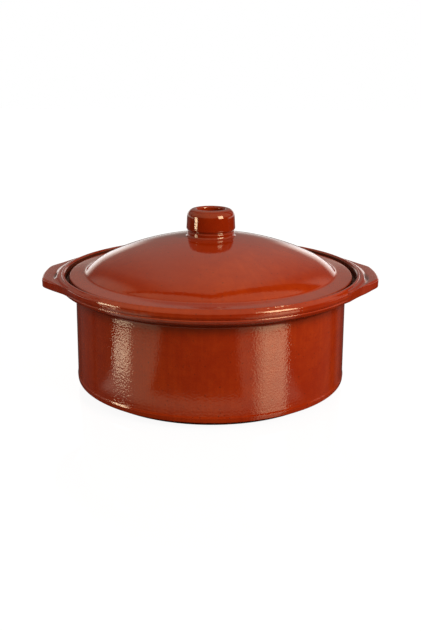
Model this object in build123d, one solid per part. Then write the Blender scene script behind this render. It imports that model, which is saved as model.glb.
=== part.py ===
from build123d import *
import math
import os

# Lidded clay casserole: a thrown pot with two lugs luted onto its rim, and a domed lid with a
# hollow knob. Millimetres, +Z up, the pot's axis is Z, the base stands on Z = 0, lugs lie on X.

# Pot wall and base
wall_spread = 1.5
wall_thickness = 7.0
floor_thickness = 8.0
foot_round = 14.0
floor_round = 20.0

# Rim
pot_height = 115.0
rim_radius = 150.0
rim_overhang = 16.0
rim_band = 12.6
rim_lip = 6.0
rim_flare = 7.0
rim_round = 4.4
lip_round = 1.5
under_rim_round = 1.8
neck_round = 10.0

# Seat for the lid inside the rim
seat_depth = 7.0
seat_corner_round = 1.5
seat_edge_round = 2.5
lid_gap = 4.0

# Lugs
lug_reach = 17.5
lug_width = 56.0
lug_root_width = 150.0
lug_corner_round = 20.0
lug_root_round = 45.0
lug_drop = 3.4
lug_thickness = 7.8
lug_edge_round = 3.0
lute_width = 3.4
lute_inset = 19.0
lute_round = 3.0
lute_sink = 0.2

# Lid
flange_width = 15.5
flange_thickness = 5.5
flange_round = 2.2
lid_thickness = 6.5
dome_rise = 36.0
crown_radius = 255.0
shoulder_width = 19.5
dome_foot_round = 5.0

# Knob
knob_height = 25.6
knob_radius = 23.9
knob_taper = 1.1
knob_shoulder_round = 5.0
knob_belly_round = 2.6
knob_foot_radius = 23.2
knob_foot_height = 5.6
knob_foot_round = 1.8
groove_depth = 2.2
groove_width = 2.4
finger_hole_radius = 13.0
finger_hole_depth = 19.0
finger_lip_round = 2.5
finger_floor_round = 5.0

# Where the pieces meet
neck_radius = rim_radius - rim_overhang
foot_radius = neck_radius + wall_spread
neck_height = pot_height - rim_band - rim_flare
seat_height = pot_height - seat_depth
seat_radius = rim_radius - rim_lip
lid_radius = seat_radius - lid_gap
flange_top = seat_height + flange_thickness
dome_foot_radius = lid_radius - flange_width
crown_height = flange_top + dome_rise
knob_top = crown_height + knob_height
lug_top = pot_height - lug_drop
lug_tip_radius = rim_radius + lug_reach


def section(outline, roundings):
    """A closed outline of (radius, height) corners as a face, with the named corners rounded."""
    face = make_face(outline)
    for corner, radius in roundings:
        face = fillet(face.vertices().sort_by_distance((*corner, 0))[0], radius)
    return face


def turned(face):
    """A (radius, height) face stood upright and turned about Z."""
    return revolve(Plane.XZ * face, Axis.Z)


def outside_section():
    """Half section of the pot's outside, filled to the axis from the base to the top of the rim."""
    foot = (foot_radius, 0)
    neck = (neck_radius, neck_height)
    under_rim = (rim_radius, pot_height - rim_band)
    rim_top = (rim_radius, pot_height)
    outline = Polyline((0, 0), foot, neck, under_rim, rim_top, (0, pot_height), close=True)
    roundings = [
        (foot, foot_round),
        (neck, neck_round),
        (under_rim, under_rim_round),
        (rim_top, rim_round),
    ]
    return section(outline, roundings)


def inside_section():
    """Half section of the hollow: the cooking space, and above it the wider step for the lid."""
    floor_edge = (foot_radius - wall_thickness, floor_thickness)
    seat_edge = (neck_radius - wall_thickness, seat_height)
    seat_corner = (seat_radius, seat_height)
    mouth = (seat_radius, pot_height)
    outline = Polyline(
        (0, floor_thickness), floor_edge, seat_edge, seat_corner, mouth, (0, pot_height), close=True
    )
    roundings = [
        (floor_edge, floor_round),
        (seat_edge, seat_edge_round),
        (seat_corner, seat_corner_round),
    ]
    return section(outline, roundings)


def pot_body():
    """The pot: one even wall from base to rim, with the inner edge of its lip softened."""
    wall = outside_section() - inside_section()
    lip = wall.vertices().sort_by_distance((seat_radius, pot_height, 0))[0]
    return turned(fillet(lip, lip_round))


def on_circle(radius, half_width):
    """The point of a circle round Z that lies half_width from the X axis."""
    return math.sqrt(radius**2 - half_width**2), half_width


def lug_plan():
    """A lug from above, on +X: its edge runs round the pot and its flanks die into the rim."""
    tip = on_circle(lug_tip_radius, lug_width / 2)
    root = on_circle(rim_radius, lug_root_width / 2)
    buried = on_circle(rim_radius - rim_lip / 2, lug_root_width / 2 + 2 * rim_lip)
    half = [tip, root, buried]
    mirrored = [(x, -y) for x, y in half]
    edge = ThreePointArc(mirrored[0], (lug_tip_radius, 0), tip)
    flanks = Polyline(*half).edges() + Polyline(*mirrored).edges()
    plan = make_face([edge, *flanks, Line(buried, mirrored[2])])
    for corner in (tip, mirrored[0]):
        plan = fillet(plan.vertices().sort_by_distance((*corner, 0))[0], lug_corner_round)
    for corner in (root, mirrored[1]):
        plan = fillet(plan.vertices().sort_by_distance((*corner, 0))[0], lug_root_round)
    return plan


def lute():
    """The slip pressed into the corner over a lug: a crescent that thins out to both sides."""
    toe_radius = rim_radius + lute_width
    end_x = on_circle(rim_radius, lug_root_width / 2 - lute_inset)[0]
    axis_x = (toe_radius**2 - rim_radius**2) / (2 * (toe_radius - end_x))
    crest_drop = rim_round * (1 - math.sqrt(0.75)) + lute_sink
    crest = (rim_radius - rim_round / 2 - axis_x, pot_height - crest_drop)
    toe = (toe_radius - axis_x, lug_top)
    land = (toe[0] + lute_round / 2, lug_top)
    low = lug_top - lug_thickness / 2
    outline = Polyline(crest, toe, land, (land[0], low), (crest[0] - rim_round, low), close=True)
    return Pos(axis_x, 0, 0) * turned(section(outline, [(toe, lute_round)]))


def lug(clay):
    """A lug on +X: a flat plate with soft edges, luted round the outside of the given clay."""
    plan = Pos(0, 0, lug_top - lug_thickness) * lug_plan()
    plate = extrude(plan, lug_thickness)
    levels = plate.edges().group_by(Axis.Z)
    plate = fillet(levels[0] + levels[-1], lug_edge_round)
    return plate + (lute() & extrude(plan, lug_thickness + lug_drop)) - clay


def crown_arc(radius, reach):
    """An arc of the lid's crown with the given radius, from the axis outwards to the given reach."""
    centre = crown_height - crown_radius
    heights = [centre + math.sqrt(radius**2 - step**2) for step in (0, reach / 2, reach)]
    return ThreePointArc((0, heights[0]), (reach / 2, heights[1]), (reach, heights[2]))


def lid():
    """The lid: an even domed shell, tighter at its shoulder, with a flat flange for the seat."""
    shoulder = dome_foot_radius - shoulder_width
    dome_foot = (dome_foot_radius, flange_top)
    upper_edge = (lid_radius, flange_top)
    lower_edge = (lid_radius, seat_height)
    under_foot = (dome_foot_radius - lid_thickness, seat_height)
    crown = crown_arc(crown_radius, shoulder)
    brow = TangentArc(crown @ 1, dome_foot, tangent=crown % 1)
    under_crown = crown_arc(crown_radius - lid_thickness, shoulder - lid_thickness / 2)
    under_brow = TangentArc(under_crown @ 1, under_foot, tangent=under_crown % 1)
    flange = Polyline(dome_foot, upper_edge, lower_edge, under_foot)
    axis = Line(under_crown @ 0, crown @ 0)
    roundings = [
        (dome_foot, dome_foot_round),
        (upper_edge, flange_round),
        (lower_edge, flange_round),
    ]
    outline = [crown, brow, *flange.edges(), under_brow, under_crown, axis]
    return turned(section(outline, roundings))


def lid_knob(shell):
    """The knob on the given lid: foot ring, groove, belly, rounded shoulder, blind finger hole."""
    buried = crown_height - lid_thickness / 2
    foot_top = crown_height + knob_foot_height - groove_width / 2
    foot_edge = (knob_foot_radius, foot_top)
    groove = (knob_foot_radius - groove_depth, crown_height + knob_foot_height)
    belly = (knob_radius, foot_top + groove_width)
    shoulder = (knob_radius - knob_taper, knob_top)
    hole_lip = (finger_hole_radius, knob_top)
    hole_floor = (finger_hole_radius, knob_top - finger_hole_depth)
    outline = Polyline(
        (0, buried),
        (knob_foot_radius, buried),
        foot_edge,
        groove,
        belly,
        shoulder,
        hole_lip,
        hole_floor,
        (0, knob_top - finger_hole_depth),
        close=True,
    )
    roundings = [
        (foot_edge, knob_foot_round),
        (belly, knob_belly_round),
        (shoulder, knob_shoulder_round),
        (hole_lip, finger_lip_round),
        (hole_floor, finger_floor_round),
    ]
    return turned(section(outline, roundings)) - shell


def main():
    pot = pot_body()
    right_lug = lug(turned(outside_section()))
    cover = lid()
    pieces = {
        "pot_body": pot,
        "left_handle": Rot(0, 0, 180) * right_lug,
        "right_handle": right_lug,
        "lid": cover,
        "lid_knob": lid_knob(cover),
    }
    os.makedirs("parts", exist_ok=True)
    for name, piece in pieces.items():
        export_step(piece, f"parts/{name}.step")


main()
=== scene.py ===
import math
import bpy
from mathutils import Matrix, Vector


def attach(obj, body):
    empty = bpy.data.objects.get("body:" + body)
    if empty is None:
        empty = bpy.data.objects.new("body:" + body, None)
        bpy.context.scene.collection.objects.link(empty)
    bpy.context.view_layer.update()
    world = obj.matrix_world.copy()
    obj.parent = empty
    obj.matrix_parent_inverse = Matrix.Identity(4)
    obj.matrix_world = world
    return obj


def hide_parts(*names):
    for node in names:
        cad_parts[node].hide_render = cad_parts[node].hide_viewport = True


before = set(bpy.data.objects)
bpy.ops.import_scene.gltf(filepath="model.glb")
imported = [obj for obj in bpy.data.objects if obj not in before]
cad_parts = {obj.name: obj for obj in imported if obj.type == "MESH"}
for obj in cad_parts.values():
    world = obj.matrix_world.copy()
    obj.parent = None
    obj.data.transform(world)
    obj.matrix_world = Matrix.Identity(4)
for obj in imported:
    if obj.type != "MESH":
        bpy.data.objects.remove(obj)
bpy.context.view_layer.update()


# The pot
# A round casserole thrown in red earthenware: flat base, upright wall, and a flared rim in two steps
# with a seat inside it for the lid. It is fired under a clear gloss glaze, which was wiped off the foot
# that it stands on. Shade is painted into the glaze as dark colour in the corner of the seat, under the
# rim at the neck, and in the thumb's pits at the lugs.

pot_outline = [              # radius, height and rounding of each corner, in millimetres
    (0.0, 0.0, 0.0),
    (123.0, 0.0, 2.0),       # foot, with a wide chamfer and a low bead over it
    (135.45, 7.3, 1.6),
    (135.75, 11.6, 1.2),
    (135.25, 13.2, 1.2),
    (134.0, 95.4, 3.6),      # neck
    (147.7, 102.0, 1.2),     # rim: lower step, fine groove, upper step
    (149.2, 104.8, 0.7),
    (148.6, 105.6, 0.3),
    (149.4, 106.5, 0.8),
    (149.9, 108.2, 1.2),
    (149.9, 111.7, 3.2),
    (147.6, 113.9, 0.6),
    (146.9, 115.0, 0.7),     # lip, chamfered on its inner edge
    (145.3, 115.0, 0.5),
    (144.0, 113.5, 0.6),
    (144.0, 105.6, 1.2),     # seat, with a groove in its corner
    (140.4, 105.6, 1.2),
    (139.4, 108.0, 0.5),
    (127.0, 108.0, 2.5),
    (128.5, 8.0, 20.0),      # inside
    (0.0, 8.0, 0.0),
]
clay_deep = (0.225, 0.0125, 0.0008, 1.0)
clay_warm = (0.310, 0.0270, 0.0020, 1.0)
bare_clay = (0.42, 0.145, 0.062, 1.0)
# painted shade: the dark colour that stands for shade in the seat's groove, under the rim and in the
# pits
painted_shade_colour = (0.030, 0.004, 0.001, 1.0)
iron_speck = (0.045, 0.008, 0.004, 1.0)

clouds_per_metre = 11.0      # the glaze's mottling, coarse and fine
mottles_per_metre = 120.0
cloud_share = 0.7
tone_contrast = (0.32, 0.68)
rings_per_metre = 420.0      # rings that the fingers left in the clay
ring_contrast = (0.35, 0.75)
ring_strength = 0.22
ring_relief = 0.25           # their share in the relief, the rest is orange peel
dimples_per_metre = 560.0
runs_per_radian = 42.0       # runs down the wall
run_shortness = 0.35         # the larger, the shorter the runs
run_contrast = (0.42, 0.68)
run_strength = 0.35
specks_per_metre = 620.0     # iron in the clay
speck_contrast = (0.74, 0.80)
speck_strength = 0.6
cloud_contrast = (0.3, 0.7)
polish = (0.05, 0.085)       # roughness of the glaze, in the deep clouds and in the warm ones
glaze_ior = 1.6
glaze_glint = (1.0, 0.78, 0.48, 1.0)

# Where shade is painted dark into the pot's glaze, and where its clay is bare: the radius, height or
# place over which each comes or goes, in metres, and how dark and how rough it is
seat_radii = ((0.1370, 0.1385), (0.1441, 0.1443))    # painted shade in the groove of the seat's corner, round the lid's flange
seat_height = (0.1050, 0.1052)
seat_painted_shade = 0.75
seat_roughness = 0.7
neck_radii = (0.1362, 0.1380)    # painted shadow of the rim on the neck outside, and at the mouth inside it
neck_height = (0.0840, 0.0950)
neck_painted_shadow = 0.42
pit_radii = ((0.1510, 0.1520), (0.1538, 0.1546))     # painted shade in the thumb's pits in front at the lugs
pit_front = ((-0.036, -0.026), (-0.009, -0.006))
pit_height = (0.1080, 0.1085)
pit_painted_shade = 0.9
wiped_foot = (0.0007, 0.0012)    # the bare clay that the pot stands on
wiped_unevenly = 0.0009
clay_roughness = 0.85

wobbles_per_metre = 9.0      # how the wheel's unevenness goes round a piece
weld = 1e-6


def arc(centre, start, end, step_angle=7.0):
    """Points of the shorter arc round centre from start to end."""
    radius = math.dist(centre, start)
    first = math.atan2(start[1] - centre[1], start[0] - centre[0])
    last = math.atan2(end[1] - centre[1], end[0] - centre[0])
    sweep = (last - first + math.pi) % math.tau - math.pi
    count = max(3, math.ceil(abs(math.degrees(sweep)) / step_angle))
    angles = [first + sweep * i / count for i in range(count + 1)]
    return [(centre[0] + radius * math.cos(a), centre[1] + radius * math.sin(a)) for a in angles]


def corner_fit(corner, before, after, rounding):
    """Centre, start and end of the arc that rounds a corner between its two neighbours."""
    back = (before - corner).normalized()
    onwards = (after - corner).normalized()
    half = back.angle(onwards) / 2
    centre = corner + (back + onwards).normalized() * rounding / math.sin(half)
    setback = rounding / math.tan(half)
    return centre, corner + back * setback, corner + onwards * setback


def rounded(outline):
    """The outline with an arc in place of each corner that has a rounding."""
    points = []
    for i, (r, z, rounding) in enumerate(outline):
        if not rounding:
            points.append((r, z))
            continue
        before = Vector(outline[i - 1][:2])
        after = Vector(outline[(i + 1) % len(outline)][:2])
        points += arc(*corner_fit(Vector((r, z)), before, after, rounding))
    return points


def evened(points, longest):
    """The same line with its long straight runs divided, so that the glaze shades evenly."""
    line = [points[0]]
    for a, b in zip(points, points[1:]):
        parts = max(1, math.ceil(math.dist(a, b) / longest))
        for i in range(1, parts + 1):
            line.append((a[0] + (b[0] - a[0]) * i / parts, a[1] + (b[1] - a[1]) * i / parts))
    return line


def node(tree, kind, inputs=None, **settings):
    """A new node with its settings, and its inputs linked or set by name or number."""
    made = tree.nodes.new(kind)
    for name, value in settings.items():
        setattr(made, name, value)
    for name, value in (inputs or {}).items():
        if isinstance(value, bpy.types.NodeSocket):
            tree.links.new(value, made.inputs[name])
        else:
            made.inputs[name].default_value = value
    return made


def sums(tree, operation, *values):
    """A math node on the given sockets and numbers."""
    return node(tree, "ShaderNodeMath", dict(enumerate(values)), operation=operation).outputs[0]


def times(tree, *values):
    """The product of the given sockets and numbers."""
    product = values[0]
    for value in values[1:]:
        product = sums(tree, "MULTIPLY", product, value)
    return product


def step(tree, value, low, high, start, end):
    """A smooth step: start where the value is below low, end where it is above high."""
    return node(tree, "ShaderNodeMapRange", {"Value": value, 1: low, 2: high, 3: start, 4: end},
                interpolation_type="SMOOTHSTEP").outputs[0]


def band(tree, value, rise, fall):
    """1 where the value lies between a smooth rise and a smooth fall, and 0 outside them."""
    return times(tree, step(tree, value, *rise, 0.0, 1.0), step(tree, value, *fall, 1.0, 0.0))


def potters_wheel():
    """Geometry nodes that turn a half section round Z, a little out of true as thrown clay is."""
    tree = bpy.data.node_groups.new("Potters wheel", "GeometryNodeTree")
    sockets = [
        ("Section", "INPUT", "NodeSocketGeometry"),
        ("Steps Round", "INPUT", "NodeSocketInt"),
        ("Out Of Round", "INPUT", "NodeSocketFloat"),
        ("Seed", "INPUT", "NodeSocketFloat"),
        ("Glaze", "INPUT", "NodeSocketMaterial"),
        ("Clay", "OUTPUT", "NodeSocketGeometry"),
    ]
    for name, way, kind in sockets:
        tree.interface.new_socket(name, in_out=way, socket_type=kind)
    given = node(tree, "NodeGroupInput").outputs
    rings = node(tree, "GeometryNodeAttributeDomainSize", {"Geometry": given["Section"]},
                 component="MESH").outputs["Point Count"]
    columns = node(tree, "FunctionNodeIntegerMath", {0: given["Steps Round"], 1: 1},
                   operation="ADD").outputs[0]
    grid = node(tree, "GeometryNodeMeshGrid", {"Vertices X": rings, "Vertices Y": columns})
    index = node(tree, "GeometryNodeInputIndex").outputs[0]
    ring = node(tree, "FunctionNodeIntegerMath", {0: index, 1: columns},
                operation="DIVIDE_FLOOR").outputs[0]
    column = node(tree, "FunctionNodeIntegerMath", {0: index, 1: columns},
                  operation="MODULO").outputs[0]
    angle = times(tree, column, sums(tree, "DIVIDE", math.tau, given["Steps Round"]))
    place = node(tree, "GeometryNodeInputPosition").outputs[0]
    drawn = node(tree, "GeometryNodeSampleIndex",
                 {"Geometry": given["Section"], "Value": place, "Index": ring},
                 data_type="FLOAT_VECTOR", domain="POINT").outputs[0]
    turned = node(tree, "ShaderNodeVectorRotate", {"Vector": drawn, "Angle": angle},
                  rotation_type="Z_AXIS").outputs[0]
    unevenness = node(tree, "ShaderNodeTexNoise",
                      {"Vector": turned, "W": given["Seed"], "Scale": wobbles_per_metre,
                       "Detail": 1.0}, noise_dimensions="4D").outputs[0]
    inwards = sums(tree, "SUBTRACT", 1.0, times(tree, unevenness, given["Out Of Round"]))
    squeeze = node(tree, "ShaderNodeCombineXYZ", {"X": inwards, "Y": inwards, "Z": 1.0}).outputs[0]
    thrown = node(tree, "ShaderNodeVectorMath", {0: turned, 1: squeeze}, operation="MULTIPLY")
    shaped = node(tree, "GeometryNodeSetPosition",
                  {"Geometry": grid.outputs["Mesh"], "Position": thrown.outputs[0]})
    closed = node(tree, "GeometryNodeMergeByDistance",
                  {"Geometry": shaped.outputs[0], "Distance": weld})
    smooth = node(tree, "GeometryNodeSetShadeSmooth", {"Geometry": closed.outputs[0]})
    real = node(tree, "GeometryNodeRealizeInstances", {"Geometry": smooth.outputs[0]})
    glazed = node(tree, "GeometryNodeSetMaterial",
                  {"Geometry": real.outputs[0], "Material": given["Glaze"]})
    node(tree, "NodeGroupOutput", {"Clay": glazed.outputs[0]})
    return tree


wheel = potters_wheel()


def throw(name, section, steps_round, out_of_round, seed, glaze):
    """A closed turned piece from its half section in millimetres."""
    chain = bpy.data.meshes.new(name)
    chain.from_pydata([(r / 1000, 0, z / 1000) for r, z in section], [], [])
    piece = bpy.data.objects.new(name, chain)
    bpy.context.scene.collection.objects.link(piece)
    turning = piece.modifiers.new("Wheel", "NODES")
    turning.node_group = wheel
    wanted = {"Steps Round": steps_round, "Out Of Round": out_of_round, "Seed": seed, "Glaze": glaze}
    for socket in wheel.interface.items_tree:
        if socket.name in wanted:
            turning[socket.identifier] = wanted[socket.name]
    finished = piece.evaluated_get(bpy.context.evaluated_depsgraph_get())
    piece.data = bpy.data.meshes.new_from_object(finished)
    piece.modifiers.remove(turning)
    return piece


def pot_shade_and_bare_foot(tree, radius, xyz, mottle):
    """Where shade is painted dark into the pot's glaze, how rough it is there, and where the clay is
    bare.
    """
    foot_line = sums(tree, "ADD", xyz["Z"], times(tree, mottle, wiped_unevenly))
    bare = step(tree, foot_line, *wiped_foot, 1.0, 0.0)
    # painted shade in the seat's groove, painted shadow of the rim at the neck, painted shade in the
    # pits
    seat = times(tree, seat_painted_shade, band(tree, radius, *seat_radii),
                 step(tree, xyz["Z"], *seat_height, 0.0, 1.0))
    neck = times(tree, neck_painted_shadow, step(tree, radius, *neck_radii, 1.0, 0.0),
                 step(tree, xyz["Z"], *neck_height, 0.0, 1.0))
    pits = times(tree, pit_painted_shade, band(tree, radius, *pit_radii), band(tree, xyz["Y"], *pit_front),
                 step(tree, xyz["Z"], *pit_height, 0.0, 1.0))
    dark = sums(tree, "MAXIMUM", seat, sums(tree, "MAXIMUM", neck, pits))
    rough = sums(tree, "MAXIMUM", times(tree, bare, clay_roughness), times(tree, seat, seat_roughness))
    return dark, rough, bare


def gloss_glaze(name, deep, warm, peel_depth, seed, marks=None):
    """Clear bright glaze on red clay: mottled red, finger rings, runs, specks, orange peel."""
    material = bpy.data.materials.new(name)
    material.use_nodes = True
    tree = material.node_tree
    shader = tree.nodes["Principled BSDF"]

    def noise(vector, scale, detail, w):
        return node(tree, "ShaderNodeTexNoise",
                    {"Vector": vector, "Scale": scale, "Detail": detail, "W": w},
                    noise_dimensions="4D").outputs[0]

    def vectors(operation, *values):
        return node(tree, "ShaderNodeVectorMath", dict(enumerate(values)),
                    operation=operation).outputs[0]

    def blend(amount, first, second):
        return node(tree, "ShaderNodeMix", {0: amount, 6: first, 7: second},
                    data_type="RGBA").outputs[2]

    place = node(tree, "ShaderNodeTexCoord").outputs["Object"]
    xyz = node(tree, "ShaderNodeSeparateXYZ", {0: place}).outputs
    radius = sums(tree, "SQRT", sums(tree, "ADD", times(tree, xyz["X"], xyz["X"]),
                                     times(tree, xyz["Y"], xyz["Y"])))
    section = node(tree, "ShaderNodeCombineXYZ", {"X": radius, "Y": xyz["Z"], "Z": seed}).outputs[0]
    outwards = vectors("NORMALIZE", vectors("MULTIPLY", place, (1.0, 1.0, 0.0)))
    drop = node(tree, "ShaderNodeCombineXYZ", {"Z": times(tree, xyz["Z"], run_shortness)}).outputs[0]
    down = vectors("ADD", outwards, drop)

    clouds = noise(place, clouds_per_metre, 3.0, seed)
    mottle = noise(place, mottles_per_metre, 3.0, seed + 2)
    rings = noise(section, rings_per_metre, 2.0, seed + 4)
    peel = noise(place, dimples_per_metre, 1.0, seed + 6)
    specks = noise(place, specks_per_metre, 0.0, seed + 8)
    runs = noise(down, runs_per_radian, 2.0, seed + 10)

    tone = sums(tree, "ADD", times(tree, clouds, cloud_share), times(tree, mottle, 1.0 - cloud_share))
    colour = blend(step(tree, tone, *tone_contrast, 0.0, 1.0), deep, warm)
    colour = blend(step(tree, rings, *ring_contrast, 0.0, ring_strength), colour, deep)
    colour = blend(step(tree, runs, *run_contrast, 0.0, run_strength), colour, deep)
    colour = blend(step(tree, specks, *speck_contrast, 0.0, speck_strength), colour, iron_speck)
    roughness = step(tree, clouds, *cloud_contrast, *polish)
    if marks:
        dark, rough, bare = marks(tree, radius, xyz, mottle)
        # painted shade darkens the colour where it is given, and the foot shows bare clay
        colour = blend(bare, blend(dark, colour, painted_shade_colour), bare_clay)
        roughness = sums(tree, "MAXIMUM", roughness, rough)
    relief = sums(tree, "ADD", times(tree, rings, ring_relief), times(tree, peel, 1.0 - ring_relief))
    bump = node(tree, "ShaderNodeBump", {"Strength": 1.0, "Distance": peel_depth, "Height": relief})
    tree.links.new(colour, shader.inputs["Base Color"])
    tree.links.new(roughness, shader.inputs["Roughness"])
    tree.links.new(bump.outputs[0], shader.inputs["Normal"])
    shader.inputs["IOR"].default_value = glaze_ior
    shader.inputs["Specular Tint"].default_value = glaze_glint
    return material


pot_glaze = gloss_glaze("pot_glaze", clay_deep, clay_warm, peel_depth=0.00017, seed=3.0,
                        marks=pot_shade_and_bare_foot)
pot = throw("pot", evened(rounded(pot_outline), longest=4.0), steps_round=288, out_of_round=0.0,
            seed=1.0, glaze=pot_glaze)
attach(pot, "pot")
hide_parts("pot_body")


# The two lugs
# Flat ears of the same clay to lift the pot by, luted with slip on the outside of the rim. A thumb
# wiped the slip smooth towards the front and left a pit in it, and towards the back it still shows
# as a step. Each lug's flanks die out along the rim. Glazed in one with the pot.

rim_radius = 150.0           # all lengths here in millimetres
lug_top = 111.7
lug_bottom = 103.0
lug_thinnest = 0.5
lug_root_radius = 147.4
lug_sunk_reach = 0.9         # where a lug stands out less than this, it sinks into the rim
lug_level_reach = 14.0       # and where it stands out this far, its underside is level
lug_undercut = 1.9           # how far its lower edge stays back where it is thin
lug_undercut_reach = 8.0
joint_width = 4.3            # from the rim to the deepest line of the joint
joint_growth = 6.0           # the reach over which the joint opens to that width
slip_share = 0.6             # how far back to the rim over the joint the slip's crest stands
slip_back = 0.2
slip_rise = 0.35             # how far the slip stands over the lug where it is wiped
slip_step = 1.15             # and how much higher it stands where it isn't
pit_depth = 1.7
lug_end_angle = 43.0         # where a lug ends, in degrees off its middle
lug_end_fade = 12.0
wiped_angle = -18.0          # from the front up to here the slip is wiped
wiped_fade = 10.0
flank_softness = 1.5         # how gently a flank leaves the rim
corner_softness = 0.7        # how gently a flank meets the round end
lug_steps = 128

rim_shoulder = (146.6, 114.75)
rim_joint = [(146.5, 114.5), (147.8, 112.5), (148.2, 112.0), (148.6, 111.4), (149.3, 109.5),
             (148.5, 105.0), (147.3, 102.7), (147.0, 102.4)]
rim_core = [(143.5, 104.6), (145.3, 110.5)]


def ease(x):
    """0 to 1 with a soft start and end."""
    x = min(1.0, max(0.0, x))
    return x * x * (3 - 2 * x)


def lug_section(reach, crispness, pit, root_bottom):
    """A closed section of the lug at one place round the rim, hidden in the rim where it ends."""
    out = max(reach, lug_thinnest)
    tip = rim_radius + out
    joint = rim_radius + joint_width * (1 - math.exp(-out / joint_growth))
    slip = joint - slip_share * (joint - rim_radius) - slip_back
    slip_top = lug_top + slip_rise + slip_step * crispness
    flat = tip - joint
    bottom = root_bottom + (lug_bottom - root_bottom) * ease(reach / lug_level_reach)
    lower_tip = tip - lug_undercut * (1 - ease(reach / lug_undercut_reach))
    corners = [              # radius, height, rounding and number of points of each corner
        (*rim_shoulder, 0.0, 1),
        (slip, slip_top, 2.0 - 0.7 * pit, 6),                                      # crest of the slip
        (joint, lug_top - pit, min(0.9, 0.3 * flat), 8),                           # joint
        (joint + min(1.8, 0.4 * flat), lug_top + 0.05, min(1.6, 0.2 * flat), 6),   # flat of the lug
        (tip, lug_top + 0.4, min(2.0, 0.3 * flat), 8),                             # upper edge
        (lower_tip, bottom, min(1.7, 0.4 * (tip - lug_root_radius)), 8),           # lower edge
        (lug_root_radius, bottom - 0.3, 0.6, 8),                                   # root
        (*rim_joint[-1], 0.0, 1),
        (*rim_core[0], 0.0, 1),
        (*rim_core[1], 0.0, 1),
    ]
    risen = ease(reach / lug_sunk_reach)
    points = []
    for i, (hidden, (r, z, rounding, count)) in enumerate(zip(rim_joint + rim_core, corners)):
        hidden = Vector(hidden)
        corner = Vector((r, z))
        if not rounding:
            points.append(hidden.lerp(corner, risen))
            continue
        before = Vector(corners[i - 1][:2])
        after = Vector(corners[i + 1][:2])
        centre, start, end = corner_fit(corner, before, after, rounding)
        swing = (start - centre).angle_signed(end - centre)
        for k in range(count):
            spoke = start - centre
            spoke.rotate(Matrix.Rotation(-swing * k / (count - 1), 2))
            points.append(hidden.lerp(centre + spoke, risen))
    return points


def lug_out(turn, reach, flank):
    """How far the lug stands out of the rim: a round end, then straight flanks to the rim."""
    distance, facing = flank
    straight = distance / math.cos(math.radians(min(0.0, abs(turn) - facing))) - rim_radius
    straight = flank_softness * math.log(1 + math.exp(straight / flank_softness))
    both = math.exp(-reach / corner_softness) + math.exp(-straight / corner_softness)
    return -corner_softness * math.log(both) * ease((lug_end_angle - abs(turn)) / lug_end_fade)


def lug(name, side, reach, front_flank, back_flank, root_bottom, pit_turn, pit_width, glaze):
    """A lug on the +X side (side 1) or on the -X side (side -1). A flank is a straight line: its
    distance from the pot's axis, and the way that it faces, in degrees off the lug's middle."""
    vertices = []
    for i in range(lug_steps + 1):
        turn = lug_end_angle * (2 * i / lug_steps - 1)
        out = lug_out(turn, reach, front_flank if turn < 0 else back_flank)
        crispness = ease((turn - wiped_angle) / wiped_fade)
        pit = pit_depth * ease(1.0 - abs(turn - pit_turn) / pit_width)
        angle = math.radians(turn)
        for r, z in lug_section(out, crispness, pit, root_bottom):
            vertices.append((side * r * math.cos(angle) / 1000, r * math.sin(angle) / 1000, z / 1000))
    count = len(vertices) // (lug_steps + 1)
    faces = [[i * count + k, i * count + (k + 1) % count,
              (i + 1) * count + (k + 1) % count, (i + 1) * count + k]
             for i in range(lug_steps) for k in range(count)]
    faces.append(list(range(count))[::-1])
    faces.append([lug_steps * count + k for k in range(count)])
    if side > 0:
        faces = [face[::-1] for face in faces]
    mesh = bpy.data.meshes.new(name)
    mesh.from_pydata(vertices, [], faces)
    mesh.shade_smooth()
    mesh.materials.append(glaze)
    ear = bpy.data.objects.new(name, mesh)
    bpy.context.scene.collection.objects.link(ear)
    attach(ear, "pot")
    return ear


left_lug = lug("left_lug", side=-1, reach=16.0, front_flank=(145.9, 40.1), back_flank=(153.6, 29.5),
               root_bottom=103.4, pit_turn=-6.5, pit_width=7.0, glaze=pot_glaze)
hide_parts("left_handle")
right_lug = lug("right_lug", side=1, reach=15.4, front_flank=(148.9, 36.5), back_flank=(153.6, 30.0),
                root_bottom=101.8, pit_turn=-9.0, pit_width=10.0, glaze=pot_glaze)
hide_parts("right_handle")


# The lid
# Thrown upside down as a shallow bowl of the same clay, then turned over: an even dome with a
# tighter shoulder, and round it a flange, flat below and falling slightly outwards above, that drops
# into the pot's seat with 4 mm to spare.

lid_seat = 108.0             # all lengths here in millimetres
crown_centre = (0.0, -105.5)
crown_radius = 255.0
shoulder = 105.0
dome_foot = (124.5, 113.9)
dome_foot_round = 5.0
dome_foot_run = 12.0         # the brow counts as straight for this long over the dome's foot
join_gap = 0.3
flange_edge = (140.0, 112.7)
flange_edge_round = 1.2
flange_under_round = 2.2
lid_shell = 6.5
clay_lid_deep = (0.245, 0.0160, 0.0011, 1.0)
clay_lid_warm = (0.330, 0.0310, 0.0022, 1.0)


def on_crown(reach, radius):
    """The point of the crown's arc at the given distance from the axis."""
    return Vector((reach, crown_centre[1] + math.sqrt(radius**2 - reach**2)))


def brow(reach, radius, foot):
    """The arc that leaves the crown's arc smoothly at reach and comes down to foot."""
    top = on_crown(reach, radius)
    outwards = (top - Vector(crown_centre)).normalized()
    chord = top - Vector(foot)
    bend = chord.length_squared / (2 * outwards.dot(chord))
    return arc(top - outwards * bend, top, foot, step_angle=2.0)


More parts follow.
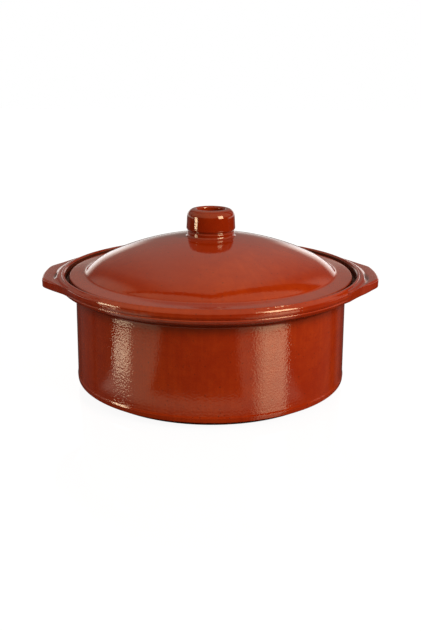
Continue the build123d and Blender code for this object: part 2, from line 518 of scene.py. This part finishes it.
def lid_section():
    """Half section of the lid, from the crown down the outside and back under the dome."""
    crown = arc(crown_centre, on_crown(0, crown_radius), on_crown(shoulder, crown_radius),
                step_angle=1.0)
    outer = crown + brow(shoulder, crown_radius, dome_foot)[1:]
    slope = (Vector(outer[-1]) - Vector(outer[-2])).normalized()
    run_in = Vector(dome_foot) - slope * dome_foot_run
    under_foot = (dome_foot[0] - lid_shell, lid_seat)
    flange = rounded([
        (*run_in, 0.0),
        (*dome_foot, dome_foot_round),
        (*flange_edge, flange_edge_round),
        (flange_edge[0], lid_seat, flange_under_round),
        (*under_foot, 0.0),
    ])
    kept = [point for point in outer if point[0] < flange[1][0] - join_gap]
    inside_radius = crown_radius - lid_shell
    inside_shoulder = shoulder - lid_shell / 2
    under = brow(inside_shoulder, inside_radius, under_foot)[::-1]
    hollow = arc(crown_centre, on_crown(inside_shoulder, inside_radius),
                 on_crown(0, inside_radius), step_angle=1.0)
    return evened(kept + flange[1:] + under[1:] + hollow[1:], longest=4.0)


lid_glaze = gloss_glaze("lid_glaze", clay_lid_deep, clay_lid_warm, peel_depth=0.00007, seed=8.0)
lid = throw("domed_lid", lid_section(), steps_round=288, out_of_round=0.0022, seed=4.0,
            glaze=lid_glaze)
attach(lid, "lid")
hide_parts("lid")


# The knob
# A small hollow knob thrown on the lid's crown: foot ring, groove cut with a turning tool, belly,
# soft shoulder and a finger hole that stops above the lid. Slip seals its foot to the lid. It is
# coloured a little darker than the lid.

knob_outline = [             # radius, height and rounding of each corner, in millimetres
    (0.0, 146.8, 0.0),
    (26.2, 146.8, 0.0),      # slip, just under the lid's crown
    (24.9, 148.2, 0.0),
    (23.5, 149.1, 2.2),      # foot ring
    (23.5, 153.0, 1.6),
    (21.9, 153.8, 0.0),      # groove
    (24.2, 155.1, 2.4),      # belly and shoulder
    (23.1, 175.05, 7.4),
    (13.8, 175.05, 2.0),     # finger hole
    (12.8, 156.1, 5.0),
    (0.0, 156.1, 0.0),
]
clay_knob_deep = (0.185, 0.0115, 0.0008, 1.0)
clay_knob_warm = (0.255, 0.0230, 0.0016, 1.0)

knob_glaze = gloss_glaze("knob_glaze", clay_knob_deep, clay_knob_warm, peel_depth=0.00007, seed=8.0)
knob = throw("knob", evened(rounded(knob_outline), longest=1.5), steps_round=160, out_of_round=0.003,
             seed=7.0, glaze=knob_glaze)
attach(knob, "lid")
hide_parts("lid_knob")


# The table
# A wide glossy table just under the pot, which the camera sees as white. The glaze mirrors it dark,
# but for a crescent round the front of the foot, open in the middle, and for its far end behind.

table_half = 6.0
table_drop = 0.0003
table_roughness = 0.04
table_ior = 1.4
table_grey = (0.08, 0.08, 0.08, 1.0)
table_mirrored = (0.015, 0.015, 0.015, 1.0)
table_white = 0.925          # how bright the camera sees it near the pot
table_far_white = 0.06       # and how much brighter far away
table_far = (1.8, 3.0)       # from the pot's axis in metres
table_behind = (-0.3, 0.4)
crescent_radii = ((0.165, 0.190), (0.35, 0.60))
crescent_left = (-1.20, -1.05)     # bearings from the camera's side, in radians
crescent_right = (0.80, 0.95)
crescent_light = 0.54
left_arm = (-0.75, -0.40)
left_arm_gain = 1.35         # its left arm is brighter
opening_bearing = -0.14
opening_half = (0.43, 0.49)
opening_radius = (0.207, 0.220)

table_mesh = bpy.data.meshes.new("table")
table_mesh.from_pydata([(-table_half, -table_half, -table_drop), (table_half, -table_half, -table_drop),
                        (table_half, table_half, -table_drop), (-table_half, table_half, -table_drop)],
                       [], [(0, 1, 2, 3)])
table = bpy.data.objects.new("table", table_mesh)
bpy.context.scene.collection.objects.link(table)

table_paint = bpy.data.materials.new("table_paint")
table_paint.use_nodes = True
paint = table_paint.node_tree
table_shader = paint.nodes["Principled BSDF"]
table_shader.inputs["Roughness"].default_value = table_roughness
table_shader.inputs["IOR"].default_value = table_ior
table_shader.inputs["Emission Color"].default_value = (1.0, 1.0, 1.0, 1.0)
table_ray = node(paint, "ShaderNodeLightPath").outputs
table_colour = node(paint, "ShaderNodeMix",
                    {0: table_ray["Is Glossy Ray"], 6: table_grey, 7: table_mirrored},
                    data_type="RGBA").outputs[2]
paint.links.new(table_colour, table_shader.inputs["Base Color"])

spot = node(paint, "ShaderNodeTexCoord").outputs["Object"]
across = node(paint, "ShaderNodeSeparateXYZ", {0: spot}).outputs
from_pot = node(paint, "ShaderNodeVectorMath", {0: spot}, operation="LENGTH").outputs["Value"]
far = step(paint, from_pot, *table_far, 0.0, 1.0)
far_end = times(paint, far, step(paint, across["Y"], *table_behind, 0.0, 1.0),
                sums(paint, "ADD", table_ray["Is Glossy Ray"], table_ray["Is Transmission Ray"]))
bearing = sums(paint, "ARCTAN2", across["X"], times(paint, across["Y"], -1.0))
arms = times(paint, step(paint, bearing, *crescent_left, 0.0, crescent_light),
             step(paint, bearing, *crescent_right, 1.0, 0.0),
             step(paint, bearing, *left_arm, left_arm_gain, 1.0))
off_middle = sums(paint, "ABSOLUTE", sums(paint, "SUBTRACT", bearing, opening_bearing))
opening = times(paint, step(paint, off_middle, *opening_half, 1.0, 0.0),
                step(paint, from_pot, *opening_radius, 0.0, 1.0))
crescent = times(paint, arms, sums(paint, "SUBTRACT", 1.0, opening),
                 band(paint, from_pot, *crescent_radii), table_ray["Is Glossy Ray"])
table_seen = sums(paint, "MAXIMUM", table_ray["Is Camera Ray"],
                  sums(paint, "MAXIMUM", far_end, crescent))
table_glow = sums(paint, "ADD", table_white, times(paint, far, table_far_white))
paint.links.new(times(paint, table_seen, table_glow), table_shader.inputs["Emission Strength"])
table_mesh.materials.append(table_paint)


# The softboxes
# Four squares of even warm light on stands round the pot: a shallow one with a weaker one under it
# on the left, and a tall one with a narrow wing beside it on the right of the camera.

softbox_distance = 1.35
warm_white = (1.0, 0.95, 0.90)
softboxes = [                # bearing from the camera's side, middle, width, height, radiance
    ("left_box", -74.5, 0.345, 0.38, 0.09, 30.0),
    ("left_low_box", -74.5, 0.10, 0.38, 0.16, 15.0),
    ("right_box", 51.5, 0.72, 0.52, 1.00, 15.0),
    ("right_wing", 38.0, 0.72, 0.14, 1.00, 7.0),
]
for box_name, box_bearing, middle, width, height, radiance in softboxes:
    box_angle = math.radians(box_bearing)
    stand = Vector((math.sin(box_angle), -math.cos(box_angle), 0.0)) * softbox_distance
    lamp = bpy.data.lights.new(box_name, "AREA")
    lamp.shape = "RECTANGLE"
    lamp.size = width
    lamp.size_y = height
    lamp.color = warm_white
    lamp.energy = radiance * math.pi * width * height
    softbox = bpy.data.objects.new(box_name, lamp)
    softbox.location = stand + Vector((0.0, 0.0, middle))
    softbox.rotation_euler = (-stand).to_track_quat("-Z", "Y").to_euler()
    softbox.visible_camera = False
    bpy.context.scene.collection.objects.link(softbox)


# The room
# Warm pale cloth hangs behind the pot and in front of it, with a dark gap overhead where the two
# part. The camera sees plain white all round. So does the glaze low behind the pot, where two bright
# strips draw the edges of the dome. All places here are parts of a direction of length 1.

gap_light = 0.02
gap_forward = 0.02
gap_lean = 0.625             # how far the gap swings back to both sides
gap_skew = 0.165             # and how much further on the right
gap_width = 0.065
gap_widening = 0.085         # towards the right
gap_narrowest = 0.03
gap_edge = (0.8, 1.25)       # in widths of the gap
back_aside = (0.2, 0.5)      # the back cloth is in shade off its middle, and lit again at its sides
back_shaded = 0.30
back_sides = (0.50, 0.62)
back_side_light = 0.9
back_light = (0.24, 0.62)    # at its foot and overhead
front_light = 0.68
front_foot = (0.12, 0.40)
rear = (-0.1, 0.2)
low = (0.03, 0.12)
straight_behind = (0.10, 0.20)
straight_behind_light = 0.4
strip_sides = ((0.14, 0.22), (0.42, 0.55))
strip_top = (0.12, 0.20)
strip_foot = (-0.02, 0.04)
strip_light = 0.9
cloth_warmth = (1.0, 0.92, 0.84, 1.0)

room = bpy.data.worlds.new("studio")
bpy.context.scene.world = room
room.use_nodes = True
cloth = room.node_tree
room_ray = node(cloth, "ShaderNodeLightPath").outputs
room_way = node(cloth, "ShaderNodeTexCoord").outputs["Generated"]
way = node(cloth, "ShaderNodeSeparateXYZ", {0: room_way}).outputs
aside = sums(cloth, "ABSOLUTE", way["X"])
rearwards = step(cloth, way["Y"], *rear, 0.0, 1.0)

lean = sums(cloth, "ADD", times(cloth, aside, gap_lean), times(cloth, way["X"], gap_skew))
half_gap = sums(cloth, "ADD", gap_width, times(cloth, way["X"], gap_widening))
half_gap = sums(cloth, "MAXIMUM", half_gap, gap_narrowest)
off_gap = sums(cloth, "ADD", sums(cloth, "SUBTRACT", way["Y"], lean), gap_forward)
past_gap = sums(cloth, "DIVIDE", off_gap, half_gap)
before_gap = times(cloth, past_gap, -1.0)
back_cloth = times(cloth, step(cloth, past_gap, *gap_edge, 0.0, 1.0),
                   sums(cloth, "ADD", step(cloth, aside, *back_aside, 1.0, back_shaded),
                        step(cloth, aside, *back_sides, 0.0, back_side_light)),
                   step(cloth, way["Z"], 0.0, 1.0, *back_light))
front_cloth = times(cloth, step(cloth, before_gap, *gap_edge, 0.0, front_light),
                    step(cloth, way["Z"], *front_foot, 0.0, 1.0))
hangings = sums(cloth, "ADD", gap_light, sums(cloth, "ADD", back_cloth, front_cloth))

low_behind = times(cloth, step(cloth, way["Z"], *low, 1.0, 0.0), rearwards,
                   step(cloth, aside, *straight_behind, straight_behind_light, 1.0),
                   sums(cloth, "ADD", room_ray["Is Glossy Ray"], room_ray["Is Transmission Ray"]))
room_seen = sums(cloth, "MAXIMUM", room_ray["Is Camera Ray"], low_behind)
whitened = times(cloth, room_seen, sums(cloth, "SUBTRACT", 1.0, hangings))
strips = times(cloth, band(cloth, aside, *strip_sides), rearwards, room_ray["Is Glossy Ray"],
               step(cloth, way["Z"], *strip_top, strip_light, 0.0),
               step(cloth, way["Z"], *strip_foot, 0.0, 1.0))
room_light = sums(cloth, "ADD", hangings, sums(cloth, "ADD", whitened, strips))
room_colour = node(cloth, "ShaderNodeMix", {0: room_seen, 6: cloth_warmth, 7: (1.0, 1.0, 1.0, 1.0)},
                   data_type="RGBA").outputs[2]
cloth.links.new(room_colour, cloth.nodes["Background"].inputs["Color"])
cloth.links.new(room_light, cloth.nodes["Background"].inputs["Strength"])


# The camera
# It stands nearly 0.8 m in front of the pot and looks down on it by 17 degrees. Angles in radians.

camera_place = (0.0, -0.780, 0.3024)
camera_pitch = 0.2952
camera_roll = 0.0039
camera_lens = 45.59

camera = bpy.data.objects.new("camera", bpy.data.cameras.new("camera"))
camera.data.lens = camera_lens
camera.matrix_world = (Matrix.Translation(camera_place)
                       @ Matrix.Rotation(math.radians(90) - camera_pitch, 4, "X")
                       @ Matrix.Rotation(camera_roll, 4, "Z"))
bpy.context.scene.collection.objects.link(camera)
bpy.context.scene.camera = camera
bpy.context.scene.view_settings.view_transform = "Standard"
